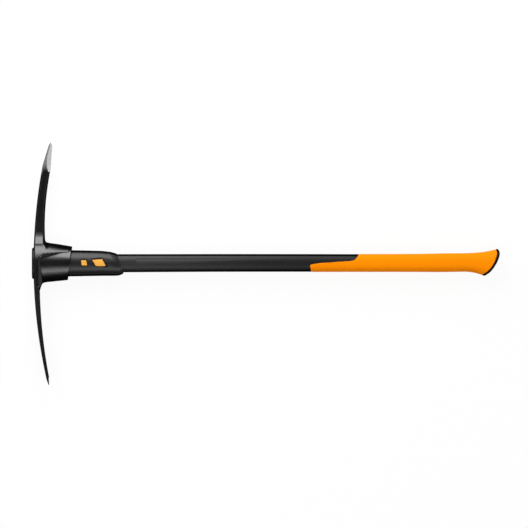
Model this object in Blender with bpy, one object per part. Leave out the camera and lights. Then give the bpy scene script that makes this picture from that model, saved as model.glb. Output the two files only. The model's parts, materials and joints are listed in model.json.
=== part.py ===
"""Pickaxe: a forged head on a shock-damped composite handle, lying on its side.

The model is in metres. +X runs down the handle from the head to the butt, +Y is the
way the pick arm points, -Y the way the blade points, and +Z is up from the ground that
the head's cheek lies on. The origin is under the middle of the eye. Every piece is
drawn round the tool's own middle plane, and one empty lifts them all to lie at rest.
"""

import math

import bmesh
import bpy
from mathutils import Matrix, Vector

MM = 0.001

# Whole tool
CHEEK_HALF = 27.0 * MM
FIT_GAP = 0.3 * MM
RING_POINTS = 40
THROUGH = 60.0 * MM
FAR_X = 1000.0 * MM

# Forged head
ARC_RADIUS = 1040.0 * MM
ARC_FACE_X = -8.8 * MM
CAP_SEAT_X = -7.9 * MM
CAP_FACE_X = -12.7 * MM
CAP_HALF = (30.6 * MM, 20.8 * MM)
PICK_TIP_Y = 235.2 * MM
PICK_THICKNESS = 16.0 * MM
PICK_ROOT_GAIN = 3.0 * MM
PICK_HALF_WIDTH = 12.0 * MM
PICK_TIP_HALF_WIDTH = 9.0 * MM
PICK_ARM_START_Y = 62.0 * MM
PICK_ROOT_END_Y = 150.0 * MM
PICK_CHAMFERS = (2.4 * MM, 4.4 * MM)
PICK_STEPS = 10
WHEEL_RADIUS = 80.0 * MM
BLADE_TIP_Y = -238.3 * MM
BLADE_ROOT_Y = -59.0 * MM
BLADE_ROOT_THICKNESS = 9.8 * MM
BLADE_END_THICKNESS = 4.6 * MM
BLADE_EDGE_THICKNESS = 1.2 * MM
BLADE_GRIND_LENGTH = 12.0 * MM
BLADE_HALF_WIDTH = 26.0 * MM
BLADE_WAIST = 4.0 * MM
BLADE_CHAMFER = 1.2 * MM
BLADE_STEPS = 9
BELT_CHAMFERS = (2.4 * MM, 1.6 * MM)
SKIRT_ROOT = (37.4 * MM, 25.4 * MM)
SKIRT_RIM = (32.4 * MM, 24.2 * MM)
RIM_X = 62.0 * MM
RIM_SLANT = 0.132
SKIRT_ROUNDNESS = 2.15

# Each station of the belt round the eye: y, inner face x, half width
BELT_STATIONS = (
    (-44.0, 4.2, 26.6),
    (-34.0, 6.8, 27.0),
    (12.0, 6.8, 27.0),
    (22.0, 6.8, 25.2),
    (30.0, 8.6, 22.2),
    (36.0, 11.6, 19.0),
)

# Each station where the belt turns into the pick arm: y, inner face x, half width, inner chamfer
NECK_STATIONS = (
    (39.0, 13.6, 17.6, 4.0),
    (50.0, 12.8, 14.0, 4.4),
)

# Each station of the gusset under the pick arm, down the skirt: x, then y and half width
# of its top, of its shoulder and of its foot
KEEL_ROOT_Y = 8.0
KEEL_STATIONS = (
    (4.0, 48.0, 9.0, 44.0, 12.0, 16.2, 25.6),
    (12.0, 46.6, 9.0, 42.6, 12.0, 16.2, 25.8),
    (13.4, 43.4, 9.0, 38.8, 14.0, 16.3, 25.8),
    (15.6, 40.6, 8.8, 35.8, 15.5, 16.4, 25.6),
    (20.5, 39.4, 8.6, 33.8, 16.0, 16.7, 25.2),
    (40.0, 36.6, 7.8, 31.4, 14.8, 19.0, 22.8),
    (60.0, 33.2, 7.0, 28.6, 13.6, 20.6, 20.2),
    (74.0, 31.0, 6.4, 27.0, 12.8, 21.8, 18.0),
)

# Each station of the gusset by the blade's root: x, depth below the middle, half width
WEB_ROOT_DEPTH = 20.0
WEB_STATIONS = (
    (-3.0, 62.0, 22.0),
    (2.2, 60.0, 22.0),
    (3.0, 53.9, 22.0),
    (4.8, 48.1, 21.5),
    (7.1, 42.6, 20.0),
    (9.6, 39.8, 17.5),
    (15.0, 37.9, 13.0),
    (26.0, 35.4, 8.0),
)

# Each station of the eye, of the sleeve in it and of the boot's cavity: x, half height, half depth
EYE_STATIONS = (
    (-20.0, 27.9, 18.7),
    (20.0, 24.8, 16.8),
    (46.0, 23.6, 16.4),
    (90.0, 23.6, 16.4),
)
SLEEVE_IN_EYE = (
    (-7.6, 27.0, 18.0),
    (20.0, 24.8, 16.8),
    (40.0, 23.8, 16.4),
)
SLEEVE_IN_BOOT = (
    (44.0, 22.5, 15.6),
    (50.0, 22.5, 15.6),
    (128.0, 21.2, 15.0),
    (134.0, 20.8, 14.8),
)
BOOT_CAVITY = (
    (30.0, 22.5, 15.6),
    (50.0, 22.5, 15.6),
    (128.0, 21.2, 15.0),
    (134.5, 20.8, 14.8),
)

# Handle sections, as half height and half depth
BOW = 0.85 * MM
BOW_START_X = 60.0 * MM
BOW_END_X = 400.0 * MM
SHELL_ROUNDNESS = 2.5
BOOT_ROUNDNESS = 2.3
BORE_HALF = (11.5 * MM, 7.5 * MM)
LINER_WALL = 1.5 * MM
BORE_START_X = 6.6 * MM
BORE_END_X = 849.4 * MM
GRIP_RECESS = 2.4 * MM
FLUTE_START_X = 191.5 * MM
FLUTE_END_X = 470.0 * MM
FLUTE_TOP_Y = 8.4 * MM
FLUTE_LOW_Y = -9.0 * MM
FLUTE_CORNER = 1.5 * MM
PAD_RECESS = 0.6 * MM
BLIND_DEPTH = 0.7 * MM

# The flute's floor: x, half height, half depth. It lies deepest under the flute's upper wall,
# rises to the shaft's own surface below it, and fades out down the handle.
FLUTE_FLOOR_MIDDLE_Y = -5.0
FLUTE_FLOOR = (
    (150.0, 22.0, 12.9),
    (280.0, 22.0, 12.95),
    (470.0, 22.0, 14.6),
)

# Each station of the handle's shell: x, half height, half depth
SHELL_STATIONS = (
    (-7.8, 22.6, 13.8),
    (20.0, 20.4, 12.9),
    (50.0, 18.0, 13.0),
    (168.0, 17.4, 13.0),
    (320.0, 17.1, 12.9),
    (531.0, 16.95, 12.9),
    (640.0, 17.1, 13.1),
    (760.0, 17.6, 13.6),
    (835.0, 18.2, 14.0),
    (870.0, 20.0, 15.2),
    (910.0, 23.0, 17.0),
)

# Each station of the grip's skin: x, top, bottom, half depth
GRIP_STATIONS = (
    (500.0, 17.5, -17.7, 13.6),
    (640.0, 17.4, -17.6, 13.7),
    (745.0, 17.8, -17.7, 14.1),
    (785.0, 18.6, -18.0, 14.5),
    (815.0, 18.9, -17.5, 14.6),
    (835.0, 19.1, -17.3, 14.8),
    (848.0, 19.6, -18.5, 15.2),
    (856.0, 20.2, -20.2, 15.7),
    (864.0, 20.9, -22.6, 16.4),
    (872.0, 21.8, -25.7, 17.2),
    (880.0, 23.4, -29.0, 18.0),
    (888.0, 25.1, -32.0, 18.7),
    (896.0, 27.4, -35.0, 19.3),
    (906.0, 30.5, -38.5, 20.0),
)

# Each station of the boot's skin: x, half height, half depth, slant of the section
BOOT_STATIONS = (
    (50.0, 25.7, 18.8, RIM_SLANT),
    (62.0, 25.7, 18.8, RIM_SLANT),
    (100.0, 25.0, 18.5, 0.0),
    (128.0, 24.4, 18.2, -0.12),
    (140.0, 24.1, 18.0, -0.25),
    (149.0, 23.3, 17.6, -0.35),
    (154.0, 21.9, 16.8, -0.40),
    (158.0, 20.2, 15.6, -0.43),
    (161.0, 18.5, 14.2, -0.43),
)

# How the cap's face rounds off: share of its height, distance drawn in
CAP_ROUNDING = ((0.0, 0.0), (0.4, 0.0), (0.75, 0.9), (0.93, 2.3), (1.0, 4.3))

# Corners of the boot's two windows and of the shallow recess beside them, in x and y
SMALL_WINDOW = ((83.8, 6.8), (94.9, 7.0), (97.5, -5.4), (85.0, -5.4))
LARGE_WINDOW = ((104.9, 7.2), (126.0, 7.8), (133.6, -6.2), (112.5, -6.2))
BLIND_RECESS = ((129.6, 8.2), (140.6, 6.4), (144.6, -6.0), (137.0, -6.6))

# The line on the handle's side where black shell gives way to orange grip
GRIP_EDGE = (
    (538.0, -40.0),
    (532.9, -15.6),
    (530.6, -6.4),
    (532.0, -3.7),
    (536.0, -2.6),
    (550.5, -0.4),
    (581.4, 1.8),
    (608.0, 3.4),
    (615.2, 4.6),
    (619.6, 7.0),
    (626.3, 16.4),
    (636.0, 32.0),
)

# The butt's end seen from the side, outside the cap and inside it
BUTT_OUTER_LINE = (
    (888.0, 34.0),
    (894.2, 27.2),
    (898.8, 23.6),
    (901.3, 18.6),
    (901.7, 13.5),
    (899.6, 5.9),
    (892.3, -7.6),
    (881.6, -20.1),
    (871.4, -25.8),
    (858.0, -32.0),
)
BUTT_INNER_LINE = (
    (892.0, 36.0),
    (895.0, 25.6),
    (896.6, 18.8),
    (895.4, 12.3),
    (892.1, 2.6),
    (885.7, -8.0),
    (877.5, -16.8),
    (869.4, -22.5),
    (858.0, -29.0),
)


def clear_scene():
    for leftover in list(bpy.data.objects):
        bpy.data.objects.remove(leftover)


def new_collection(name):
    collection = bpy.data.collections.new(name)
    bpy.context.scene.collection.children.link(collection)
    return collection


def new_material(name, colour, roughness, metallic=0.0):
    material = bpy.data.materials.new(name)
    material.use_nodes = True
    shader = material.node_tree.nodes["Principled BSDF"]
    shader.inputs["Base Color"].default_value = (*colour, 1.0)
    shader.inputs["Roughness"].default_value = roughness
    shader.inputs["Metallic"].default_value = metallic
    return material


def link_piece(obj, material):
    """Puts a finished piece in the tool's collection, smooth where it is round."""
    pieces.objects.link(obj)
    obj.parent = tool_axis
    obj.data.materials.append(material)
    obj.data.shade_smooth()
    obj.data.set_sharp_from_angle(angle=math.radians(32))
    return obj


def link_cutter(obj):
    """Puts a shape that only cuts, joins or trims in the hidden collection."""
    cutters.objects.link(obj)
    obj.parent = tool_axis
    obj.hide_render = True
    obj.display_type = "WIRE"
    return obj


def boolean(target, other, operation):
    modifier = target.modifiers.new(f"{operation.lower()} {other.name}", "BOOLEAN")
    modifier.operation = operation
    modifier.object = other
    modifier.solver = "EXACT"


def signed_power(value, power):
    return math.copysign(abs(value) ** power, value)


def bowed_middle(x):
    """The middle of the handle's height, which bows away from the pick arm near the head."""
    along = min(max((x - BOW_START_X) / (BOW_END_X - BOW_START_X), 0.0), 1.0)
    return -BOW * (1 - along * along * (3 - 2 * along))


def section(x, half_y, half_z, roundness, y_middle=None, slant=0.0):
    """One section across the handle: a superellipse that leans along X by its slant."""
    if y_middle is None:
        y_middle = bowed_middle(x)
    points = []
    for i in range(RING_POINTS):
        turn = 2 * math.pi * i / RING_POINTS
        y = y_middle + half_y * signed_power(math.cos(turn), 2 / roundness)
        z = half_z * signed_power(math.sin(turn), 2 / roundness)
        points.append(Vector((x + slant * y, y, z)))
    return points


def sections_at(stations, offset=0.0, roundness=SHELL_ROUNDNESS):
    """Sections at a table's stations, grown by an offset; a station may add its own slant."""
    sections = []
    for x, half_y, half_z, *slant in stations:
        size = (half_y * MM + offset, half_z * MM + offset)
        sections.append(section(x * MM, *size, roundness, slant=slant[0] if slant else 0.0))
    return sections


def skin(shape, sections):
    """Adds a closed skin over sections that have the same number of points."""
    rings = [[shape.verts.new(point) for point in points] for points in sections]
    for first, second in zip(rings, rings[1:]):
        for i, corner in enumerate(first):
            j = (i + 1) % len(first)
            shape.faces.new((corner, first[j], second[j], second[i]))
    shape.faces.new(rings[0])
    shape.faces.new(rings[-1])
    bmesh.ops.recalc_face_normals(shape, faces=shape.faces)


def object_from(shape, name):
    mesh = bpy.data.meshes.new(name)
    shape.to_mesh(mesh)
    shape.free()
    return bpy.data.objects.new(name, mesh)


def loft(name, sections):
    shape = bmesh.new()
    skin(shape, sections)
    return object_from(shape, name)


def mesh_from_curve(name, curve, location, rotation):
    """Turns a filled, extruded 2D curve into a closed mesh, so that a Boolean can use it."""
    drawn = bpy.data.objects.new(name, curve)
    drawn.location = location
    drawn.rotation_euler = rotation
    cutters.objects.link(drawn)
    bpy.context.view_layer.update()
    evaluated = drawn.evaluated_get(bpy.context.evaluated_depsgraph_get())
    mesh = bpy.data.meshes.new_from_object(evaluated)
    placed = drawn.matrix_world.copy()
    bpy.data.objects.remove(drawn)
    shape = bmesh.new()
    shape.from_mesh(mesh)
    bmesh.ops.remove_doubles(shape, verts=shape.verts, dist=0.01 * MM)
    bmesh.ops.recalc_face_normals(shape, faces=shape.faces)
    shape.to_mesh(mesh)
    shape.free()
    obj = bpy.data.objects.new(name, mesh)
    obj.matrix_world = placed
    return obj


def flat_curve(name, outlines, half_thickness):
    """A filled 2D curve with one closed polyline for each outline; a second one is a hole."""
    curve = bpy.data.curves.new(name, "CURVE")
    curve.dimensions = "2D"
    curve.fill_mode = "BOTH"
    curve.extrude = half_thickness
    for outline in outlines:
        spline = curve.splines.new("POLY")
        spline.points.add(len(outline) - 1)
        for point, (across, along) in zip(spline.points, outline):
            point.co = (across, along, 0.0, 1.0)
        spline.use_cyclic_u = True
    return curve


def side_prism(name, outline):
    """A shape drawn on the tool's side, in x and y, that runs right through it."""
    return mesh_from_curve(name, flat_curve(name, [outline], THROUGH), (0, 0, 0), (0, 0, 0))


def stadium(half_y, half_z, arc_steps=8):
    """A flat bar's outline: two straight sides and two round ends."""
    points = []
    for side in (1, -1):
        for i in range(arc_steps + 1):
            turn = math.pi * i / arc_steps - math.pi / 2
            y = side * (half_y - half_z + half_z * math.cos(turn))
            points.append((y, side * half_z * math.sin(turn)))
    return points


def bar(name, outlines, start_x, end_x):
    """A bar or tube along the handle, extruded from its outline."""
    curve = flat_curve(name, outlines, (end_x - start_x) / 2)
    middle = ((start_x + end_x) / 2, 0, 0)
    return mesh_from_curve(name, curve, middle, (math.pi / 2, 0, math.pi / 2))


def in_mm(*values):
    return [value * MM for value in values]


def scaled(outline):
    return [(x * MM, y * MM) for x, y in outline]


def smooth_line(points, steps=4):
    """More points along a curve that passes through the given ones, from a Catmull-Rom spline."""
    line = [Vector(point) for point in points]
    ends = [2 * line[0] - line[1], *line, 2 * line[-1] - line[-2]]
    found = []
    for before, start, end, after in zip(ends, ends[1:], ends[2:], ends[3:]):
        for i in range(steps):
            t = i / steps
            pull = (end - before) * t
            bend = (2 * before - 5 * start + 4 * end - after) * t**2
            twist = (3 * start - before - 3 * end + after) * t**3
            found.append(start + (pull + bend + twist) / 2)
    return [tuple(point) for point in [*found, line[-1]]]


def outer_arc_x(y):
    """The head's outer face: one arc from tip to tip, about the swing's own radius."""
    return ARC_FACE_X + y * y / (2 * ARC_RADIUS)


def chamfered(x_out, x_in, y, half_width, outer_chamfer, inner_chamfer):
    """An arm's section across its length: a bar whose four long edges are taken off."""
    return [
        Vector((x_out, y, half_width - outer_chamfer * 1.2)),
        Vector((x_out + outer_chamfer, y, half_width)),
        Vector((x_in - inner_chamfer, y, half_width)),
        Vector((x_in, y, half_width - inner_chamfer)),
        Vector((x_in, y, inner_chamfer - half_width)),
        Vector((x_in - inner_chamfer, y, -half_width)),
        Vector((x_out + outer_chamfer, y, -half_width)),
        Vector((x_out, y, outer_chamfer * 1.2 - half_width)),
    ]


def pick_section(y):
    """The pick arm: deep at its root, slimmer towards the point."""
    root = max(0.0, (PICK_ROOT_END_Y - y) / (PICK_ROOT_END_Y - PICK_ARM_START_Y))
    thickness = PICK_THICKNESS + PICK_ROOT_GAIN * root**2
    along = (y - PICK_ARM_START_Y) / (PICK_TIP_Y - PICK_ARM_START_Y)
    half_width = PICK_HALF_WIDTH + (PICK_TIP_HALF_WIDTH - PICK_HALF_WIDTH) * along
    x_out = outer_arc_x(y)
    return chamfered(x_out, x_out + thickness, y, half_width, *PICK_CHAMFERS)


def blade_section(y):
    """The blade: an even taper to a ground edge, a little waisted in its width."""
    along = (y - BLADE_ROOT_Y) / (BLADE_TIP_Y - BLADE_ROOT_Y)
    thickness = BLADE_ROOT_THICKNESS + (BLADE_END_THICKNESS - BLADE_ROOT_THICKNESS) * along
    half_width = BLADE_HALF_WIDTH - BLADE_WAIST * math.sin(math.pi * along)
    to_edge = (y - BLADE_TIP_Y) / BLADE_GRIND_LENGTH
    middle = outer_arc_x(y) + thickness / 2
    if to_edge < 1:
        thickness = BLADE_EDGE_THICKNESS + (thickness - BLADE_EDGE_THICKNESS) * to_edge
    chamfer = min(BLADE_CHAMFER, thickness / 3)
    return chamfered(middle - thickness / 2, middle + thickness / 2, y, half_width, chamfer, chamfer)


def ground_flat(name, point, normal, along, wheel_radius=None):
    """Cuts one flat by the tip. A wheel's radius gives it a hollow run-out where it starts."""
    reach = 40 * MM
    profile = [(reach, 0.0), (reach, reach), (-reach, reach)]
    if wheel_radius:
        steps = 8
        deepest = 25 * MM
        for i in range(steps, -1, -1):
            back = deepest * i / steps
            profile.append((-back, wheel_radius - math.sqrt(wheel_radius**2 - back**2)))
    else:
        profile.append((-reach, 0.0))
    cutter = mesh_from_curve(name, flat_curve(name, [profile], reach), (0, 0, 0), (0, 0, 0))
    out = Vector(normal).normalized()
    down_arm = (Vector(along) - out * out.dot(Vector(along))).normalized()
    turn = Matrix((down_arm, out, down_arm.cross(out))).transposed().to_4x4()
    cutter.matrix_world = Matrix.Translation(Vector(in_mm(*point))) @ turn
    return link_cutter(cutter)


def arms_and_belt():
    """Both arms and the belt round the eye, as one sweep from the blade's edge to the point."""
    blade_start_y = BLADE_TIP_Y + BLADE_GRIND_LENGTH
    sections = [blade_section(BLADE_TIP_Y), blade_section(blade_start_y)]
    for i in range(1, BLADE_STEPS + 1):
        sections.append(blade_section(blade_start_y + (BLADE_ROOT_Y - blade_start_y) * i / BLADE_STEPS))
    for station in BELT_STATIONS:
        y, x_in, half_width = in_mm(*station)
        sections.append(chamfered(outer_arc_x(y), x_in, y, half_width, *BELT_CHAMFERS))
    for station in NECK_STATIONS:
        y, x_in, half_width, inner_chamfer = in_mm(*station)
        sections.append(chamfered(outer_arc_x(y), x_in, y, half_width, PICK_CHAMFERS[0], inner_chamfer))
    arm_length = PICK_TIP_Y - PICK_ARM_START_Y
    for i in range(PICK_STEPS + 1):
        sections.append(pick_section(PICK_ARM_START_Y + arm_length * i / PICK_STEPS))
    return loft("pick_head", sections)


def grind_point(head):
    """The ground pyramid at the pick's tip: inner and outer flats on each side, a blunted end."""
    inner = (24.6, 203.0)
    outer = (15.5, 214.5)
    down_inner = (0.068, 1, 0)
    flats = [ground_flat("inner_strip", (*inner, 0), (1, -0.068, 0), down_inner)]
    for side in (1, -1):
        facing = (1, -0.068, 0.92 * side)
        corner = (24.0, 231.0, 4.2 * side)
        flats.append(ground_flat("inner_flat", (*inner, 1.2 * side), facing, down_inner, WHEEL_RADIUS))
        flats.append(ground_flat("outer_flat", (*outer, 0), (-1, 0.311, 0.42 * side), (0.311, 1, 0)))
        flats.append(ground_flat("side_blunting", corner, (0, 1, 1.1 * side), (0, 1, -1)))
    flats.append(ground_flat("outer_blunting", (21.0, 231.0, 0), (-0.80, 0.60, 0), (0.60, 0.80, 0)))
    flats.append(ground_flat("inner_blunting", (26.4, 231.5, 0), (0.86, 0.50, 0), (-0.50, 0.86, 0)))
    for flat in flats:
        boolean(head, flat, "DIFFERENCE")


def mirrored(x, half):
    """A section's corners at one x: the given y and z pairs, then the same on the other side."""
    return [Vector((x, y, z)) for y, z in half] + [Vector((x, y, -z)) for y, z in reversed(half)]


def keel():
    """The gusset under the pick arm, which fills its corner and dies away at the rim."""
    sections = []
    for station in KEEL_STATIONS:
        x, top_y, top_half, shoulder_y, shoulder_half, foot_y, foot_half = in_mm(*station)
        outside = [(top_y, top_half), (shoulder_y, shoulder_half), (foot_y, foot_half)]
        root = (KEEL_ROOT_Y * MM, foot_half - 4 * MM)
        sections.append(mirrored(x, [*outside, root]))
    return loft("keel", sections)


def blade_web():
    """The smaller gusset that rounds out the corner between the skirt and the blade's root."""
    sections = []
    corner = 4 * MM
    for station in WEB_STATIONS:
        x, depth, half = in_mm(*station)
        side = [(-WEB_ROOT_DEPTH * MM, half), (corner - depth, half), (-depth, half - corner)]
        sections.append(mirrored(x, side))
    return loft("blade_web", sections)


def make_pick_head(material):
    """The forging: arms and belt, socket skirt, gussets, and the eye through the middle."""
    head = arms_and_belt()
    root_y, root_z = SKIRT_ROOT
    rim_y, rim_z = SKIRT_RIM
    past_rim = 2.6 * MM
    skirt = loft(
        "skirt",
        [
            section(-2 * MM, root_y, root_z, SKIRT_ROUNDNESS),
            section(12 * MM, root_y - 0.6 * MM, root_z, SKIRT_ROUNDNESS),
            section(RIM_X - 1.2 * MM, rim_y, rim_z, SKIRT_ROUNDNESS, slant=RIM_SLANT),
            section(RIM_X + 3 * MM, rim_y - past_rim, rim_z - past_rim, SKIRT_ROUNDNESS, slant=RIM_SLANT),
        ],
    )
    top = 80 * MM
    rim_line = [(RIM_X - RIM_SLANT * top, -top), (RIM_X + RIM_SLANT * top, top)]
    beyond_rim = side_prism("beyond_rim", [*rim_line, (120 * MM, top), (120 * MM, -top)])
    eye = loft("eye", sections_at(EYE_STATIONS))
    boot_start = BOOT_STATIONS[0]
    boot_ends = [(x, *boot_start[1:]) for x in (boot_start[0] - FIT_GAP / MM, 90.0)]
    boot_seat = loft("boot_seat", sections_at(boot_ends, FIT_GAP, BOOT_ROUNDNESS))
    seat_size = (CAP_HALF[0] + FIT_GAP, CAP_HALF[1] + FIT_GAP)
    cap_seat = loft("cap_seat", [section(x, *seat_size, BOOT_ROUNDNESS) for x in (-30 * MM, CAP_SEAT_X)])
    for part in (skirt, keel(), blade_web()):
        boolean(head, link_cutter(part), "UNION")
    for part in (beyond_rim, eye, boot_seat, cap_seat):
        boolean(head, link_cutter(part), "DIFFERENCE")
    grind_point(head)
    link_piece(head, material)


def shell_sections(offset, start=-100.0, end=1000.0):
    """The handle shell's outer sections between two places, grown by an offset."""
    return sections_at([station for station in SHELL_STATIONS if start <= station[0] <= end], offset)


def grip_sections(start):
    """The grip's outer sections from one place on, which also shape the butt cap."""
    sections = []
    for x, top, bottom, half_z in GRIP_STATIONS:
        if x >= start:
            middle = (top + bottom) / 2 * MM
            sections.append(section(x * MM, (top - bottom) / 2 * MM, half_z * MM, SHELL_ROUNDNESS, middle))
    return sections


def grip_side_outline(shift):
    """All that lies on the orange side of the grip's front edge, shifted down the handle."""
    edge = [(x + shift, y) for x, y in scaled(GRIP_EDGE)]
    return [*edge, (FAR_X, THROUGH), (FAR_X, -THROUGH), (edge[0][0], -THROUGH)]


def make_handle_shell(material):
    """The hard outer layer: tenon, shaft and the stepped-down length under the grip."""
    shell = loft("handle_shell", shell_sections(0.0))
    under_grip = loft("under_grip", shell_sections(-GRIP_RECESS, start=320.0))
    grip_recess = side_prism("grip_recess", grip_side_outline(0.0))
    boolean(grip_recess, link_cutter(under_grip), "DIFFERENCE")
    boolean(shell, link_cutter(grip_recess), "DIFFERENCE")

    flute = side_prism(
        "flute",
        [
            (FLUTE_START_X, FLUTE_TOP_Y - FLUTE_CORNER),
            (FLUTE_START_X + FLUTE_CORNER, FLUTE_TOP_Y),
            (FLUTE_END_X, FLUTE_TOP_Y),
            (FLUTE_END_X, FLUTE_LOW_Y),
            (FLUTE_START_X, FLUTE_LOW_Y),
        ],
    )
    floor = []
    for x, half_y, half_z in FLUTE_FLOOR:
        floor.append(section(*in_mm(x, half_y, half_z), 2.2, FLUTE_FLOOR_MIDDLE_Y * MM))
    boolean(flute, link_cutter(loft("flute_floor", floor)), "DIFFERENCE")
    boolean(shell, link_cutter(flute), "DIFFERENCE")

    bore = bar("bore", [stadium(*BORE_HALF)], -50 * MM, FAR_X)
    boolean(shell, link_cutter(bore), "DIFFERENCE")
    boolean(shell, butt_side("shell_end", BUTT_INNER_LINE, -FIT_GAP), "DIFFERENCE")
    link_piece(shell, material)


def butt_side(name, line, shift):
    """All that lies beyond one of the two lines across the butt."""
    edge = [(x * MM + shift, y * MM) for x, y in smooth_line(line)]
    return link_cutter(side_prism(name, [*edge, (FAR_X, -THROUGH), (FAR_X, THROUGH)]))


def make_core_bar(material):
    """The glass-fibre bar that carries the load down the handle."""
    gap = LINER_WALL + 2 * FIT_GAP
    outline = stadium(BORE_HALF[0] - gap, BORE_HALF[1] - gap)
    link_piece(bar("core_bar", [outline], BORE_START_X, BORE_END_X), material)


def make_damping_liner(material):
    """The soft layer between the bar and the shell."""
    outside = stadium(BORE_HALF[0] - FIT_GAP, BORE_HALF[1] - FIT_GAP)
    inside_gap = FIT_GAP + LINER_WALL
    inside = stadium(BORE_HALF[0] - inside_gap, BORE_HALF[1] - inside_gap)
    link_piece(bar("damping_liner", [outside, inside], BORE_START_X, BORE_END_X), material)


def make_insulation_sleeve(material):
    """The orange sleeve that keeps steel and handle apart, with pads for the windows."""
    in_eye = sections_at(SLEEVE_IN_EYE, -FIT_GAP)
    in_boot = sections_at(SLEEVE_IN_BOOT, -FIT_GAP, BOOT_ROUNDNESS)
    sleeve = loft("insulation_sleeve", [*in_eye, *in_boot])
    for name, window in (("small_pad", SMALL_WINDOW), ("large_pad", LARGE_WINDOW)):
        pad = side_prism(name, shrunk(scaled(window), FIT_GAP))
        boolean(pad, pad_surface, "INTERSECT")
        boolean(sleeve, link_cutter(pad), "UNION")
    boolean(sleeve, handle_passage, "DIFFERENCE")
    link_piece(sleeve, material)


def shrunk(outline, by):
    """A four-sided outline drawn in towards its middle by a given amount."""
    middle = Vector((sum(x for x, y in outline) / 4, sum(y for x, y in outline) / 4))
    drawn_in = []
    for corner in outline:
        outwards = Vector(corner) - middle
        drawn_in.append(tuple(Vector(corner) - outwards.normalized() * by * math.sqrt(2)))
    return drawn_in


def boot_sections(inset):
    return sections_at(BOOT_STATIONS, -inset, BOOT_ROUNDNESS)


def make_neck_boot(material):
    """The black collar below the head, with a slanted end and two windows on each side."""
    boot = loft("neck_boot", boot_sections(0.0))
    cavity = loft("boot_cavity", sections_at(BOOT_CAVITY, 0.0, BOOT_ROUNDNESS))
    boolean(boot, link_cutter(cavity), "DIFFERENCE")
    boolean(boot, handle_passage, "DIFFERENCE")
    for name, window in (("small_window", SMALL_WINDOW), ("large_window", LARGE_WINDOW)):
        boolean(boot, link_cutter(side_prism(name, scaled(window))), "DIFFERENCE")
    blind_recess = side_prism("blind_recess", scaled(BLIND_RECESS))
    boolean(blind_recess, link_cutter(loft("recess_floor", boot_sections(BLIND_DEPTH))), "DIFFERENCE")
    boolean(boot, link_cutter(blind_recess), "DIFFERENCE")
    link_piece(boot, material)


def make_eye_cap(material):
    """The plate that closes the eye, with a spigot down into the tenon."""
    seat_x = CAP_SEAT_X - FIT_GAP
    sections = []
    for share, inset in CAP_ROUNDING:
        x = seat_x + (CAP_FACE_X - seat_x) * share
        sections.append(section(x, CAP_HALF[0] - inset * MM, CAP_HALF[1] - inset * MM, BOOT_ROUNDNESS))
    cap = loft("eye_cap", sections)
    outline = stadium(BORE_HALF[0] - FIT_GAP, BORE_HALF[1] - FIT_GAP)
    spigot = bar("cap_spigot", [outline], -10.0 * MM, BORE_START_X - FIT_GAP)
    boolean(cap, link_cutter(spigot), "UNION")
    link_piece(cap, material)


def make_hand_grip(material):
    """The orange grip, whose front edge steps down the side of the shell."""
    grip = loft("hand_grip", grip_sections(500.0))
    behind_edge = side_prism("behind_grip_edge", grip_side_outline(FIT_GAP))
    shell_inside = loft("shell_inside", shell_sections(FIT_GAP - GRIP_RECESS, start=320.0))
    boolean(grip, link_cutter(behind_edge), "INTERSECT")
    boolean(grip, link_cutter(shell_inside), "DIFFERENCE")
    boolean(grip, butt_side("grip_end", BUTT_INNER_LINE, -FIT_GAP), "DIFFERENCE")
    link_piece(grip, material)


def make_butt_cap(material):
    """The black end cap: a slanted, rounded plate with a spigot into the handle's bore."""
    cap = loft("butt_cap", grip_sections(848.0))
    before_line = [*scaled(smooth_line(BUTT_INNER_LINE)), (800 * MM, -THROUGH), (800 * MM, THROUGH)]
    before_cap = side_prism("before_cap", before_line)
    outline = stadium(BORE_HALF[0] - FIT_GAP, BORE_HALF[1] - FIT_GAP)
    spigot = bar("butt_spigot", [outline], BORE_END_X + FIT_GAP, FAR_X)
    boolean(before_cap, link_cutter(spigot), "DIFFERENCE")
    boolean(cap, butt_side("butt_end", BUTT_OUTER_LINE, 0.0), "DIFFERENCE")
    boolean(cap, link_cutter(before_cap), "DIFFERENCE")
    link_piece(cap, material)


clear_scene()
pieces = new_collection("Pickaxe")
cutters = new_collection("Cutters")
tool_axis = bpy.data.objects.new("tool_axis", None)
tool_axis.location = (0, 0, CHEEK_HALF)
pieces.objects.link(tool_axis)

handle_passage = link_cutter(loft("handle_passage", shell_sections(FIT_GAP, end=320.0)))
pad_surface = link_cutter(loft("pad_surface", boot_sections(PAD_RECESS)))

black_paint = new_material("black_paint", (0.030, 0.030, 0.032), 0.42)
black_plastic = new_material("black_plastic", (0.035, 0.035, 0.037), 0.5)
black_rubber = new_material("black_rubber", (0.022, 0.022, 0.024), 0.6)
orange_rubber = new_material("orange_rubber", (1.0, 0.28, 0.01), 0.55)
grey_elastomer = new_material("grey_elastomer", (0.18, 0.18, 0.19), 0.8)
glass_fibre = new_material("glass_fibre", (0.62, 0.60, 0.42), 0.35)

make_pick_head(black_paint)
make_eye_cap(black_rubber)
make_insulation_sleeve(orange_rubber)
make_neck_boot(black_rubber)
make_handle_shell(black_plastic)
make_damping_liner(grey_elastomer)
make_core_bar(glass_fibre)
make_hand_grip(orange_rubber)
make_butt_cap(black_rubber)
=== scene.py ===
# %% [markdown]
# # A pickaxe, lying on its side
#
# The tool has a forged steel head with a square pick and a flat blade, a rubber boot below
# the head, a black composite shaft and an orange grip that ends in a slanted black cap.
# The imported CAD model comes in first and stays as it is: it fixes every size and place.
# Each visible piece is then modelled again at the same place with softer, truer forms,
# and gets a finish that is worked out in shader nodes.

import itertools
import json
import math

import bmesh
import bpy
from mathutils import Matrix, Vector

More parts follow.
